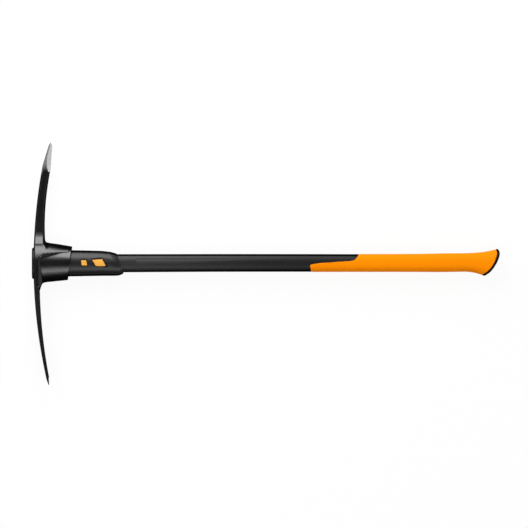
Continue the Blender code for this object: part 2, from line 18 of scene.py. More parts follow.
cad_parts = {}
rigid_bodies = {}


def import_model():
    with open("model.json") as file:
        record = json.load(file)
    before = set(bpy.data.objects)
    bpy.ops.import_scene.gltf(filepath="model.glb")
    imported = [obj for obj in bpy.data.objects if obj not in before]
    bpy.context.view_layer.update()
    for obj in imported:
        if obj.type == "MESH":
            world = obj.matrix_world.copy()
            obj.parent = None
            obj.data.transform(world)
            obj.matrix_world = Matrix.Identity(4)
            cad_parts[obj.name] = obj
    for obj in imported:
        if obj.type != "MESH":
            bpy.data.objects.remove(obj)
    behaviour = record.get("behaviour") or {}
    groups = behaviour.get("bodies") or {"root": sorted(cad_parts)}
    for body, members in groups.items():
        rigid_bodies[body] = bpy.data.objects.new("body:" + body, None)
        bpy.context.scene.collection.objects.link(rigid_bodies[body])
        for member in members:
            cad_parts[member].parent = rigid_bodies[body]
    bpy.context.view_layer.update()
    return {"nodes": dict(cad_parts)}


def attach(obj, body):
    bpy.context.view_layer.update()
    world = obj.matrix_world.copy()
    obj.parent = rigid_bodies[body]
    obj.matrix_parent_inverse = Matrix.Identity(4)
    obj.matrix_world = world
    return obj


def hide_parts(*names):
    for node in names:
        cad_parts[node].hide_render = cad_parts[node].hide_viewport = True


for leftover in list(bpy.data.objects):
    bpy.data.objects.remove(leftover)
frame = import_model()
MM = 0.001
MIDDLE_Z = 27.0

# %% [markdown]
# ## Working in edit mode
#
# An operator acts on whatever is selected, and the imported nodes arrive selected. So each
# piece starts with nothing selected. Faces, edges and points are then picked in code by
# where they are, which is what a modeller does by eye and by clicking.


# %% Select and edit
def fresh_start():
    """Leaves edit mode and deselects everything."""
    if bpy.context.object and bpy.context.object.mode != "OBJECT":
        bpy.ops.object.mode_set(mode="OBJECT")
    bpy.ops.object.select_all(action="DESELECT")


def work_on(piece):
    """Makes a piece the only selected and active one."""
    fresh_start()
    piece.select_set(True)
    bpy.context.view_layer.objects.active = piece


def edit(piece, mode="FACE"):
    """Opens a piece in edit mode, with nothing selected."""
    work_on(piece)
    bpy.ops.object.mode_set(mode="EDIT")
    bpy.ops.mesh.select_mode(type=mode)
    bpy.ops.mesh.select_all(action="DESELECT")


def middle(element):
    """The middle of a point, an edge or a face, in millimetres."""
    verts = getattr(element, "verts", [element])
    return sum((vert.co for vert in verts), Vector()) / len(verts) / MM


def pick(kind, wanted):
    """Selects the faces, edges or verts of the open piece that pass a test."""
    opened = bmesh.from_edit_mesh(bpy.context.object.data)
    opened.normal_update()
    count = 0
    for element in getattr(opened, kind):
        chosen = bool(wanted(element))
        element.select_set(chosen)
        count += chosen
    opened.select_flush_mode()
    bmesh.update_edit_mesh(bpy.context.object.data)
    return count


def select_all():
    bpy.ops.mesh.select_all(action="SELECT")


def close_edit():
    bpy.ops.object.mode_set(mode="OBJECT")


def close_solid(piece):
    """Turns all faces outwards and leaves edit mode."""
    select_all()
    bpy.ops.mesh.normals_make_consistent(inside=False)
    close_edit()
    return piece


# %% Modifiers and cuts
def apply_modifier(piece, kind, **settings):
    """Adds one modifier, sets it and applies it."""
    work_on(piece)
    modifier = piece.modifiers.new(kind.title(), kind)
    for setting, value in settings.items():
        setattr(modifier, setting, value)
    bpy.ops.object.modifier_apply(modifier=modifier.name)


def cut(piece, tool, operation="DIFFERENCE"):
    """Cuts, joins or trims a piece with another one, which is used up."""
    apply_modifier(piece, "BOOLEAN", object=tool, operation=operation, solver="EXACT")
    bpy.data.objects.remove(tool)


# %% Clean up and measure
def merge_points(piece, distance=0.02):
    """Merges points closer than a distance in millimetres, and turns all faces outwards."""
    edit(piece, "VERT")
    select_all()
    # A Boolean orders its points anew each run. Sorted ones merge the same way every time.
    bpy.ops.mesh.sort_elements(type="CURSOR_DISTANCE", elements={"VERT"})
    bpy.ops.mesh.remove_doubles(threshold=distance * MM)
    close_solid(piece)


def report(piece):
    """Prints a piece's size, and whether its skin is closed."""
    shape = bmesh.new()
    shape.from_mesh(piece.data)
    open_edges = sum(len(edge.link_faces) != 2 for edge in shape.edges)
    volume = shape.calc_volume() / MM**3 / 1000
    shape.free()
    size = [round(length / MM, 1) for length in piece.dimensions]
    faces = len(piece.data.polygons)
    print(f"{piece.name}: {size} mm, {faces} faces, {open_edges} open edges, {volume:.1f} cm3")


def shade(piece, angle=40):
    """Shades a piece smooth, with a crisp line wherever it turns by more than an angle."""
    work_on(piece)
    bpy.ops.object.shade_smooth_by_angle(angle=math.radians(angle))
    report(piece)


# %% [markdown]
# ## Ovals along the handle
#
# Everything on the handle has the same family of cross-sections: an oval that is squarer
# than an ellipse. In Blender a square whose four corners are rounded right up to the middle
# of its sides gives exactly that. The bevel's profile is a superellipse, so one number sets
# how square the oval is: a power of 2 is an ellipse, 2.5 is the shape of this handle.
# Extruding that face and scaling it at each station gives the long, slowly changing forms.


# %% A square across the handle
def square_across(name, half, x=0):
    """A square at x, open in edit mode and all selected, to be turned into an oval."""
    fresh_start()
    start = (x * MM, 0, MIDDLE_Z * MM)
    bpy.ops.mesh.primitive_plane_add(size=2 * half * MM, location=start, rotation=(0, math.pi / 2, 0))
    bpy.ops.object.transform_apply()
    piece = bpy.context.object
    piece.name = name
    bpy.ops.object.mode_set(mode="EDIT")
    select_all()
    return piece


# %% An oval bar, extruded from station to station
HANDLE_OVAL = 2.5


def put_oval(station, before):
    """Moves the selected oval from its last station to a new one: place, size and lean."""
    x, y, half_y, half_z, slant = station
    old_x, old_y, old_half_y, old_half_z, old_slant = before
    here = (x * MM, y * MM, MIDDLE_Z * MM)
    old_lean = math.atan(old_slant)
    lean = math.atan(slant)
    if old_slant:
        centre = (old_x * MM, old_y * MM, MIDDLE_Z * MM)
        bpy.ops.transform.rotate(value=-old_lean, orient_axis="Z", center_override=centre)
    bpy.ops.transform.translate(value=((x - old_x) * MM, (y - old_y) * MM, 0))
    stretch = (half_y / math.cos(lean)) / (old_half_y / math.cos(old_lean))
    bpy.ops.transform.resize(value=(1, stretch, half_z / old_half_z), center_override=here)
    if slant:
        bpy.ops.transform.rotate(value=lean, orient_axis="Z", center_override=here)


def oval_bar(name, stations, power=HANDLE_OVAL, corner_steps=12):
    """A closed bar through stations of x, middle's y, half height, half depth and slant."""
    unit = 10.0
    piece = square_across(name, unit)
    roundness = 2 ** (-2 / power)
    bpy.ops.mesh.bevel(affect="VERTICES", offset=unit * MM, segments=corner_steps, profile=roundness)
    bpy.ops.mesh.remove_doubles(threshold=0.001 * MM)
    before = (0, 0, unit, unit, 0)
    for i, station in enumerate(stations):
        if i:
            bpy.ops.mesh.extrude_region_move()
        put_oval(station, before)
        before = station
    return close_solid(piece)


# %% Smooth tables
def table_at(table, x):
    """The values of a table at x, on a smooth curve through its rows."""
    x = min(max(x, table[0][0]), table[-1][0])
    i = max(k for k in range(len(table) - 1) if table[k][0] <= x)
    before, after = table[max(i - 1, 0)], table[min(i + 2, len(table) - 1)]
    low, high = table[i], table[i + 1]
    span = high[0] - low[0]
    t = (x - low[0]) / span
    found = []
    for k in range(1, len(low)):
        slope_in = (high[k] - before[k]) / (high[0] - before[0]) * span
        slope_out = (after[k] - low[k]) / (after[0] - low[0]) * span
        start = low[k] * (1 + 2 * t) * (1 - t) ** 2 + slope_in * t * (1 - t) ** 2
        end = high[k] * t * t * (3 - 2 * t) + slope_out * t * t * (t - 1)
        found.append(start + end)
    return found


def steps_between(start, end, count):
    """Evenly spaced numbers from start to end, both included."""
    return [start + (end - start) * i / count for i in range(count + 1)]


BOW_START, BOW_LENGTH, BOW_DEPTH = 60, 340, 0.85


def bow(x):
    """The middle of the handle's height: it bows a little away from the pick arm."""
    along = min(max((x - BOW_START) / BOW_LENGTH, 0.0), 1.0)
    return -BOW_DEPTH * (1 - along * along * (3 - 2 * along))


def bowed_bar(name, table, power=HANDLE_OVAL):
    """An oval bar along the bow, from rows of x, half height and half depth."""
    return oval_bar(name, [(x, bow(x), y, z, 0) for x, y, z in table], power)


print("the head's middle lies", -bow(0), "mm below the grip's")


# %% [markdown]
# ## Blocks that cut
#
# Windows, slanted ends and the stepped edge of the grip are all drawn on the tool's side
# and run straight through it. A single point is extruded from corner to corner, the outline
# is filled, and the face is raised into a block. A Boolean then takes it out of the piece,
# or keeps only what lies inside it.


# %% A drawn face, and a block of it
def drawn_face(name, corners):
    """A face drawn from corner to corner, in x, y and z. It stays open in edit mode."""
    fresh_start()
    bpy.ops.mesh.primitive_plane_add(size=MM, location=[v * MM for v in corners[0]])
    bpy.ops.object.transform_apply()
    piece = bpy.context.object
    piece.name = name
    bpy.ops.object.mode_set(mode="EDIT")
    bpy.ops.mesh.select_mode(type="VERT")
    select_all()
    bpy.ops.mesh.merge(type="CENTER")
    for corner, after in zip(corners, corners[1:]):
        stretch = [(new - old) * MM for old, new in zip(corner, after)]
        bpy.ops.mesh.extrude_vertices_move(TRANSFORM_OT_translate={"value": stretch})
    select_all()
    bpy.ops.mesh.edge_face_add()
    bpy.ops.mesh.select_mode(type="FACE")
    select_all()
    return piece


def block(name, outline, low_z=-40, high_z=94):
    """A block with an outline of x and y points, from one height to another."""
    piece = drawn_face(name, [(x, y, low_z) for x, y in outline])
    height = (0, 0, (high_z - low_z) * MM)
    bpy.ops.mesh.extrude_region_move(TRANSFORM_OT_translate={"value": height})
    return close_solid(piece)


# %% A flat bar with round edges
def round_bar(name, half_y, half_z, start_x, end_x):
    """A flat bar along the handle with fully round edges, as the core and its bore are."""
    piece = square_across(name, 1, start_x)
    start = (start_x * MM, 0, MIDDLE_Z * MM)
    bpy.ops.transform.resize(value=(1, half_y, half_z), center_override=start)
    bpy.ops.mesh.bevel(affect="VERTICES", offset=half_z * MM, segments=8, profile=0.5)
    bpy.ops.mesh.remove_doubles(threshold=0.001 * MM)
    length = ((end_x - start_x) * MM, 0, 0)
    bpy.ops.mesh.extrude_region_move(TRANSFORM_OT_translate={"value": length})
    return close_solid(piece)


# %% [markdown]
# ## The shaft
#
# On the real tool a black composite tube runs from the eye to the butt. It is moulded round
# a soft liner and a glass-fibre bar, so a flat bore runs down its middle. Below the boot
# there is a long shallow flute on each side: a crisp upper wall, and a floor that rises
# gently back to the surface. Under the grip the tube steps down by the grip's thickness.
# One table of stations shapes it, because the hollows that fit round it need it as well.

# %% The shaft's numbers
GAP = 0.3
STATION_SPACING = 15.0
SHAFT_START_X = -7.8
SHAFT_END_X = 910
SHAFT = (
    (-7.8, 22.6, 13.8), (20, 20.4, 12.9), (50, 18.2, 13.0), (168, 17.75, 13.0),
    (320, 17.45, 12.9), (531, 17.3, 12.9), (640, 17.1, 13.1), (760, 17.6, 13.6),
    (835, 18.2, 14.0), (870, 20.0, 15.2), (910, 23.0, 17.0),
)
GRIP_RECESS = 2.4
GRIP_EDGE = (
    (538, -40), (532.9, -15.6), (530.6, -6.4), (532, -3.7), (536, -2.6), (550.5, -0.4),
    (581.4, 1.8), (608, 3.4), (615.2, 4.6), (619.6, 7.0), (626.3, 16.4), (636, 32),
)
BUTT_INSIDE = (
    (858, -29), (869.4, -22.5), (877.5, -16.8), (885.7, -8.0), (892.1, 2.6),
    (895.4, 12.3), (896.6, 18.8), (895, 25.6), (892, 36),
)
BORE = (11.5, 7.5)
FLUTE_OUTLINE = ((191.5, 6.9), (193, 8.4), (478, 8.4), (478, -9), (191.5, -9))
FLUTE_FLOOR = ((150, -5, 22, 12.9, 0), (280, -5, 22, 12.95, 0), (480, -5, 22, 14.7, 0))
FLUTE_OVAL = 2.2
UNDER_GRIP = (480, 1010)
print("shaft from", SHAFT_START_X, "to", SHAFT_END_X, "mm")


# %% Shaft helpers
def shaft_stations(start, end, grown=0.0):
    """Stations of the shaft's own oval, grown or shrunk all round."""
    places = steps_between(start, end, max(1, round((end - start) / STATION_SPACING)))
    return [(x, bow(x), *(half + grown for half in table_at(SHAFT, x)), 0.0) for x in places]


def behind_grip_edge(shift):
    """All that lies behind the grip's stepped front edge."""
    edge = [(x + shift, y) for x, y in GRIP_EDGE]
    return block("behind", [*edge, (1000, 60), (1000, -60), (edge[0][0], -60)])


def smooth_points(line, count=32):
    """Many points on a smooth curve through a line's points."""
    table = [(y, x) for x, y in line]
    return [(table_at(table, y)[0], y) for y in steps_between(table[0][0], table[-1][0], count)]


def beyond_butt(line, shift):
    """All that lies beyond one of the lines across the butt."""
    points = [(x + shift, y) for x, y in smooth_points(line)]
    return block("beyond", [*points, (1000, 60), (1000, -60)])


# %% Model the shaft
shaft = oval_bar("shaft", shaft_stations(SHAFT_START_X, SHAFT_END_X))
step = behind_grip_edge(0.0)
cut(step, oval_bar("under_grip", shaft_stations(*UNDER_GRIP, -GRIP_RECESS)))
cut(shaft, step)
flute = block("flute", FLUTE_OUTLINE)
cut(flute, oval_bar("flute_floor", FLUTE_FLOOR, FLUTE_OVAL))
cut(shaft, flute)
cut(shaft, round_bar("bore", *BORE, -40, 960))
cut(shaft, beyond_butt(BUTT_INSIDE, -GAP))
merge_points(shaft)
shade(shaft, 30)

# %% [markdown]
# ## The grip
#
# The orange rubber is moulded over the stepped-down end of the shaft. Its front edge runs
# down each side in one long slanted step, and at the butt it flares downwards into a heel,
# so the hand doesn't slip off. The outside is one oval bar. Subdivision would blur the
# stepped edge, so that edge, the shaft's core and the slanted butt are cut out of the bar,
# and then every crisp outside edge gets the small round lip that moulded rubber has.

# %% The grip's numbers
GRIP = (
    (500, 17.5, -17.7, 13.6), (640, 17.4, -17.6, 13.7), (745, 17.8, -17.7, 14.1),
    (785, 18.6, -18.0, 14.5), (815, 18.9, -17.5, 14.6), (835, 19.1, -17.3, 14.8),
    (848, 19.6, -18.5, 15.2), (856, 20.2, -20.2, 15.7), (864, 20.9, -22.6, 16.4),
    (872, 21.8, -25.7, 17.2), (880, 23.4, -29.0, 18.0), (888, 25.1, -32.0, 18.7),
    (896, 27.4, -35.0, 19.3), (906, 30.5, -38.5, 20.0),
)
FLARE_START_X = 833
GRIP_END_X = 906
FLARE_SPACING = 3
LIP_RADIUS = 0.9
SHARP_EDGE = math.radians(50)
print("grip", GRIP[0][1] - GRIP[0][2], "mm high at its front")


# %% Grip helpers
def grip_stations(start, end, spacing):
    """Stations of the grip's outside, which also shape the butt cap."""
    stations = []
    for x in steps_between(start, end, round((end - start) / spacing)):
        top, bottom, half_z = table_at(GRIP, x)
        stations.append((x, (top + bottom) / 2, (top - bottom) / 2, half_z, 0.0))
    return stations


def round_edges(piece, wanted, width, segments=3):
    """Rounds the sharp outside edges of a piece whose middles pass a test."""
    edit(piece, "EDGE")

    def is_sharp(edge):
        return edge.calc_face_angle(0) > SHARP_EDGE and edge.is_convex and wanted(middle(edge))

    count = pick("edges", is_sharp)
    rounding = {"offset": width * MM, "segments": segments, "profile": 0.5}
    bpy.ops.mesh.bevel(affect="EDGES", clamp_overlap=False, **rounding)
    close_edit()
    print(f"{piece.name}: {count} edges rounded by {width} mm")


def outside_grip(place):
    """Outside an oval a little inside the shaft's own, so not in the grip's hollow."""
    half_y, half_z = (half - 1.2 for half in table_at(SHAFT, place.x))
    out_y = abs(place.y / half_y) ** HANDLE_OVAL
    out_z = abs((place.z - MIDDLE_Z) / half_z) ** HANDLE_OVAL
    return out_y + out_z > 1


# %% Model the grip
straight = grip_stations(500, 830, STATION_SPACING)
flare = grip_stations(FLARE_START_X, GRIP_END_X, FLARE_SPACING)
grip = oval_bar("grip", [*straight, *flare])
cut(grip, behind_grip_edge(GAP), "INTERSECT")
cut(grip, oval_bar("core_space", shaft_stations(*UNDER_GRIP, GAP - GRIP_RECESS)))
cut(grip, beyond_butt(BUTT_INSIDE, -GAP))
merge_points(grip, 0.2)
round_edges(grip, outside_grip, LIP_RADIUS)
shade(grip)

# %% [markdown]
# ## The butt cap
#
# A slanted plate of black rubber closes the handle, with a plug that goes down the bore. It
# follows the grip's flare, so it starts as the same oval bar and is cut on both sides. Its
# outer rim is well rounded, because tools are stood on it.

# %% The butt cap's numbers
BUTT_OUTSIDE = (
    (858, -32), (871.4, -25.8), (881.4, -19.4), (888.2, -12.0), (893.2, -4.8), (897.2, 2.8),
    (900.1, 10.2), (901.6, 16.6), (901.4, 21.2), (899.6, 25.0), (896.2, 28.2), (888, 34),
)
PLUG = (BORE[0] - GAP, BORE[1] - GAP)
BORE_END = 849.4
BUTT_RADIUS = 1.8
print("the plug goes in to x =", round(BORE_END + GAP, 1), "mm")

# %% Model the butt cap
butt = oval_bar("butt_plate", grip_stations(848, GRIP_END_X, FLARE_SPACING))
inside = block("inside", [*smooth_points(BUTT_INSIDE), (800, 60), (800, -60)])
cut(inside, round_bar("plug", *PLUG, BORE_END + GAP, 960))
cut(butt, beyond_butt(BUTT_OUTSIDE, 0.0))
cut(butt, inside)
merge_points(butt, 0.2)
rim = smooth_points(BUTT_OUTSIDE)


def on_outer_rim(place):
    """Within a millimetre or so of the outer outline."""
    return min(math.hypot(place.x - x, place.y - y) for x, y in rim) < 1.2


round_edges(butt, on_outer_rim, BUTT_RADIUS, segments=5)
shade(butt)

# %% [markdown]
# ## The eye cap
#
# On top of the head a flat rubber plate closes the eye. It is an oval with a rounded rim
# and a slightly raised middle, and it carries a plug into the shaft's bore. A flattened
# cylinder would be a plain ellipse, so the plate is a short oval bar like the boot. Its top
# face is bevelled and then inset twice, and each inset is pulled out a little.

# %% Model the eye cap
CAP_SEAT_X = -8.2
CAP_TOP_X = -12.7
CAP_HALVES = (30.6, 20.8)
CAP_ROUNDING = 2.2
CAP_STEPS = ((4, 0.3), (6, 0.2))
FITTED_OVAL = 2.3

cap_ends = [(x, bow(0), *CAP_HALVES, 0) for x in (CAP_SEAT_X, CAP_TOP_X + 0.8)]
cap = oval_bar("eye_plate", cap_ends, FITTED_OVAL)
edit(cap)
pick("faces", lambda face: middle(face).x < CAP_TOP_X + 1 and face.normal.x < -0.9)
bpy.ops.mesh.bevel(affect="EDGES", offset=CAP_ROUNDING * MM, segments=6, profile=0.5)
pick("faces", lambda face: middle(face).x < CAP_TOP_X + 1 and face.normal.x < -0.99)
for width, rise in CAP_STEPS:
    bpy.ops.mesh.inset(thickness=width * MM)
    bpy.ops.transform.translate(value=(-rise * MM, 0, 0))
close_edit()
cut(cap, round_bar("plug", *PLUG, -10, 6.3), "UNION")
merge_points(cap)
shade(cap)

# %% [markdown]
# ## The neck boot
#
# A thick black rubber collar covers the joint between head and handle. It starts inside the
# head's skirt, ends in a slanted rounded shoulder, and has two windows on each side that
# show the orange sleeve beneath. A sunk ledge runs round each window and stays in its own
# shadow, as a dark line. Beside the large window a shallow recess is not cut through.
# Solidify would give one even wall, so a hollow with its own stations is cut out instead.

# %% The boot's numbers
BOOT = (
    (50, 25.7, 18.8, 0.132, 0), (62, 25.7, 18.8, 0.132, 0), (100, 25.0, 18.5, 0.0, 0),
    (128, 24.4, 18.2, -0.12, 0.15), (140, 23.9, 18.0, -0.27, 0.7), (147.5, 23.4, 17.7, -0.34, 0.8),
    (152.6, 22.2, 16.8, -0.35, 0.9), (157.4, 20.4, 15.5, -0.35, 0.7), (159.8, 19.2, 14.6, -0.35, 0.5),
)
BOOT_CAVITY = ((30, 22.5, 15.6), (50, 22.5, 15.6), (128, 21.2, 15.0), (134.5, 20.8, 14.8))
SMALL_WINDOW = ((82.9, 6.1), (94.8, 6.2), (97.3, -5.9), (84.2, -5.9))
LARGE_WINDOW = ((103.0, 8.5), (126.4, 9.9), (134.0, -7.4), (111.3, -7.2))
SMALL_HOLE = ((83.4, 5.6), (94.0, 5.6), (96.0, -5.3), (84.4, -5.3))
LARGE_HOLE = ((104.6, 6.4), (125.3, 7.4), (132.5, -6.8), (112.2, -6.7))
GROOVE_DEPTH = 1.8
RECESS_DEPTH = 0.7
WINDOW_ROUNDING = 0.5
PASSAGE = (-20, 320)
BLIND_RECESS = ((129.6, 8.2), (140.6, 6.4), (144.6, -6.0), (137.0, -6.6))
print("boot from", BOOT[0][0], "to", BOOT[-1][0], "mm")


def boot_stations(inset):
    """Stations of the boot's outside, closer together where its shoulder turns in."""
    stations = []
    for x in [*steps_between(50, 140, 15), *steps_between(142, 159.8, 12)]:
        half_y, half_z, slant, drop = table_at(BOOT, x)
        stations.append((x, bow(x) - drop, half_y - inset, half_z - inset, slant))
    return stations


def near_windows(least):
    """A test for edges: by the windows, and at least this far from the middle plane."""
    return lambda at: 60 < at.x < 150 and abs(at.y) < 12 and abs(at.z - MIDDLE_Z) > least


def sunk_block(name, outline, depth):
    """A block that only reaches down to a depth below the boot's surface, on both sides."""
    sunk = block(name, outline)
    cut(sunk, oval_bar(f"{name}_floor", boot_stations(depth), FITTED_OVAL))
    return sunk


# %% Model the neck boot
boot = oval_bar("boot", boot_stations(0.0), FITTED_OVAL)
cut(boot, bowed_bar("boot_cavity", BOOT_CAVITY, FITTED_OVAL))
cut(boot, oval_bar("passage", shaft_stations(*PASSAGE, GAP)))
for window, hole in ((SMALL_WINDOW, SMALL_HOLE), (LARGE_WINDOW, LARGE_HOLE)):
    cut(boot, block("hole", hole))
    cut(boot, sunk_block("groove", window, GROOVE_DEPTH))
cut(boot, sunk_block("recess", BLIND_RECESS, RECESS_DEPTH))
merge_points(boot, 0.1)
round_edges(boot, near_windows(15.8), WINDOW_ROUNDING)
shade(boot)

# %% [markdown]
# ## The sleeve
#
# An orange sleeve keeps the steel head and the handle apart. It lines the eye, runs on
# under the boot, and stands up in both windows as pads with soft edges. Each pad is a block
# that is trimmed by the boot's own outside, a little shrunk, so both surfaces run parallel.

# %% Model the sleeve
SLEEVE = ((-7.6, 26.7, 17.7), (20, 24.5, 16.5), (39.6, 23.5, 16.1), (43.7, 22.2, 15.3))
SLEEVE += ((50, 22.2, 15.3), (128, 20.9, 14.7), (134, 20.5, 14.5))
SMALL_PAD = ((83.8, 5.2), (93.6, 5.2), (95.6, -4.9), (84.8, -4.9))
LARGE_PAD = ((105.1, 6.0), (124.9, 7.0), (132.0, -6.4), (112.7, -6.3))
PAD_DEPTH = 0.4
PAD_ROUNDING = 0.45

sleeve = bowed_bar("sleeve", SLEEVE, FITTED_OVAL)
for outline in (SMALL_PAD, LARGE_PAD):
    pad = block("pad", outline)
    cut(pad, oval_bar("pad_surface", boot_stations(PAD_DEPTH), FITTED_OVAL), "INTERSECT")
    cut(sleeve, pad, "UNION")
cut(sleeve, oval_bar("passage", shaft_stations(*PASSAGE, GAP)))
merge_points(sleeve, 0.1)
round_edges(sleeve, near_windows(17), PAD_ROUNDING)
shade(sleeve)

# %% [markdown]
# ## The forged head: rough shapes
#
# The head is one steel forging: a square pick that points up in the picture, a flat blade
# that points down, a belt round the eye and a skirt that grips the handle. A smith would
# draw it out of one bar. Here it starts as plain bars with the right corners at each
# station. Each new end face is extruded and its corners are dragged to their places. The
# outer faces of both arms lie on one arc, about as long as the swing of the tool.

# %% The arc of the head
PICK_RADIUS = 1040.0
BLADE_RADIUS = 1014.0
BACK_X = -9.3


def arc_x(y):
    """The outer face of the head, as an arc from tip to tip."""
    radius = PICK_RADIUS if y > 0 else BLADE_RADIUS
    return BACK_X + y * y / (2 * radius)


print("arc at the tips:", round(arc_x(235.2), 1), round(arc_x(-238.3), 1))


# %% A bar with placed corners
def corner_bar(name, rings):
    """A closed bar through rings of corners, each ring given as x, y, z in millimetres."""
    piece = drawn_face(name, rings[0])
    for ring, after in zip(rings, rings[1:]):
        bpy.ops.mesh.extrude_region_move()
        opened = bmesh.from_edit_mesh(piece.data)
        for corner in [vert for vert in opened.verts if vert.select]:
            here = corner.co / MM
            nearest = min(range(len(ring)), key=lambda k: (Vector(ring[k]) - here).length)
            corner.co = Vector(after[nearest]) * MM
        bmesh.update_edit_mesh(piece.data)
    return close_solid(piece)


def mirrored(half):
    """A ring of corners, from points of x, y and half width above the middle plane."""
    upper = [(x, y, MIDDLE_Z + z) for x, y, z in half]
    return upper + [(x, y, MIDDLE_Z - z) for x, y, z in reversed(half)]


# %% The numbers of arms and belt
BLADE_TIP_Y = -238.3
BLADE_ROOT_Y = -59.0
PICK_START_Y = 62.0
PICK_TIP_Y = 235.2
BELT = ((-44, 1.7), (-34, 0.8), (1, 0.8), (5, 1.4), (8, 1.9))
BELT += ((10.6, 2.6), (12.5, 4.3), (14.5, 6.8), (16.4, 8.4), (17.4, 10.0))
NECK = ((18, 12.4), (29, 12.8), (43, 13.3), (48, 13.0), (54, 12.8), (62, 12.55))
FLANK = (
    (-44, 26.6), (-34, 27.0), (0, 27.0), (4.7, 26.8), (8.6, 26.4), (12.5, 25.8),
    (16.4, 25.0), (20.3, 24.0), (24, 22.8), (28, 21.0), (32, 19.75), (35, 19.1),
    (38, 18.75), (40, 17.95), (42, 17.25), (46, 15.4), (48, 14.5), (51.5, 13.45),
    (55.5, 12.7), (59.4, 12.2), (62, 12.0), (70, 11.9),
)
ARM_STEPS = 32
NECK_STEPS = 20
PAST_BLADE_Y = -242
PAST_PICK_Y = 241
print("head", PICK_TIP_Y - BLADE_TIP_Y, "mm from tip to tip")


# %% Stations of blade and pick arm
def blade_station(y):
    """The blade tapers evenly to its edge and is a little waisted in its width."""
    along = (y - BLADE_ROOT_Y) / (BLADE_TIP_Y - BLADE_ROOT_Y)
    half_width = 26 - 2.5 * math.sin(math.pi * min(along, 1))
    return (y, arc_x(y) + 10.25 - 5.45 * along, half_width)


def pick_station(y):
    """The pick arm is deep at its root and slimmer towards the point."""
    root = max(0.0, (150 - y) / 88)
    along = (y - PICK_START_Y) / (PICK_TIP_Y - PICK_START_Y)
    return (y, arc_x(y) + 16.7 + 3.3 * root**2, 12 - 3 * along)


stations = [blade_station(y) for y in steps_between(PAST_BLADE_Y, BLADE_ROOT_Y, ARM_STEPS)]
necks = [(y, table_at(NECK, y)[0]) for y in steps_between(18.4, 60, NECK_STEPS)]
stations += [(y, inner_x, table_at(FLANK, y)[0]) for y, inner_x in (*BELT, *necks)]
stations += [pick_station(y) for y in steps_between(PICK_START_Y, PAST_PICK_Y, ARM_STEPS)]
print(len(stations), "stations from blade to point")

# %% The arms and the belt, as one bar
rings = [mirrored([(arc_x(y), y, half), (inner_x, y, half)]) for y, inner_x, half in stations]
head = corner_bar("head", rings)
report(head)

# %% Bevel the long edges
INNER_BEVEL = (False, 36.5, 3.4)
OUTER_BEVEL = (True, -58, 2.6)


def long_edge(outside, from_y):
    """A test for edges: along the arms, on their outside or inside, and above a y."""

    def wanted(edge):
        first, second = (vert.co for vert in edge.verts)
        lengthwise = abs(first.y - second.y) > 1.5 * (first.xz - second.xz).length
        place = middle(edge)
        is_outside = place.x < arc_x(place.y) + 1
        return lengthwise and place.y > from_y and is_outside == outside

    return wanted


edit(head, "EDGE")
for outside, from_y, width in (INNER_BEVEL, OUTER_BEVEL):
    print(pick("edges", long_edge(outside, from_y)), "edges bevelled by", width, "mm")
    bpy.ops.mesh.bevel(affect="EDGES", offset=width * MM, segments=1)
close_edit()
report(head)

# %% [markdown]
# ## The forged head: skirt and gussets
#
# The skirt is an oval bar that is cut off later by a slanted plane. A gusset fills the corner
# under the pick arm. It carries on the arm's flank, gets rounder and lower on its way, and
# dies away at the skirt's rim. Its foot stands a little above a flat facet, as long and thin
# as a thorn. A web stiffens the root of the blade, and the belt slopes down to the skirt.
# Sculpting could shape all this too, but tables of corners can be read and corrected.

# %% The numbers of the skirt
SKIRT_OVAL = 2.15
RIM_X = 62.0
RIM_SLANT = 0.132
RIM_ROUNDING = 1.2
SKIRT = (
    (-2, bow(0) - 0.3, 37.7, 25.4, 0),
    (12, bow(12) - 0.3, 37.1, 25.4, 0),
    (RIM_X - 1.2, bow(RIM_X) - 0.25, 32.65, 24.2, RIM_SLANT),
    (RIM_X + 8, bow(RIM_X) - 0.25, 32.05, 24.0, RIM_SLANT),
)
print("skirt", 2 * SKIRT[0][2], "mm high at the belt")

# %% The numbers of the gusset and what joins it
GUSSET_ROOT = ((46.6, 8.6), (41, 14), (36, 18.2), (32, 19.6), (28, 21), (22.5, 23.2), (18.2, 24.6))
GUSSET = (
    (5, *GUSSET_ROOT),
    (11, *GUSSET_ROOT),
    (13.4, (43.4, 8.4), (38.8, 13.8), (34.8, 18), (31.4, 19.9), (27.2, 21.4), (22.2, 23.4), (18.8, 24.6)),
    (15.6, (40.6, 8.2), (37.4, 13), (33.8, 17.2), (30.4, 19.3), (26.6, 21.1), (22, 23.3), (19.2, 24.6)),
    (20.5, (39.4, 7.6), (36.6, 11.2), (33, 14.9), (29.8, 17.7), (26.2, 20.4), (22.2, 22.8), (19.6, 24.2)),
    (40, (36.6, 7), (34, 10.6), (30.9, 14.2), (28.1, 16.9), (25.2, 19.3), (22.6, 21.1), (20.8, 22.1)),
    (58, (33.5, 6.5), (31.2, 10.4), (28.9, 13.3), (27, 15.4), (25, 17.2), (23, 18.7), (21.4, 19.7)),
    (74, (31, 4.5), (29.4, 7.4), (27.6, 9.9), (26, 11.8), (24.4, 13.5), (22.9, 14.8), (21.8, 15.6)),
)
FACET = (
    (3, 8.6, 15.0), (6, 8.6, 17.2), (11, 9.8, 19.2), (17, 11.4, 19.6), (23, 13.2, 19.9),
    (31, 15.1, 20.4), (38, 16.9, 20.8), (46, 19.0, 21.2), (54, 20.9, 21.6),
)
FACET_FALL = 0.11
WEB = ((-3, 62), (2.0, 60), (2.7, 53.9), (4.6, 48.1), (6.6, 42.6), (8.4, 39.9), (14, 37.9), (26, 35.4))
BELT_SLOPE = ((-4, 26.6), (0.4, 26.8), (8, 22.8), (11, 17.2), (14, 12))
SLOPE_ENDS = ((-46, 4.6), (-41, 7.4), (-36, 11), (1, 11), (3, 8))
print("gusset", GUSSET_ROOT[0][0], "mm high at the arm")


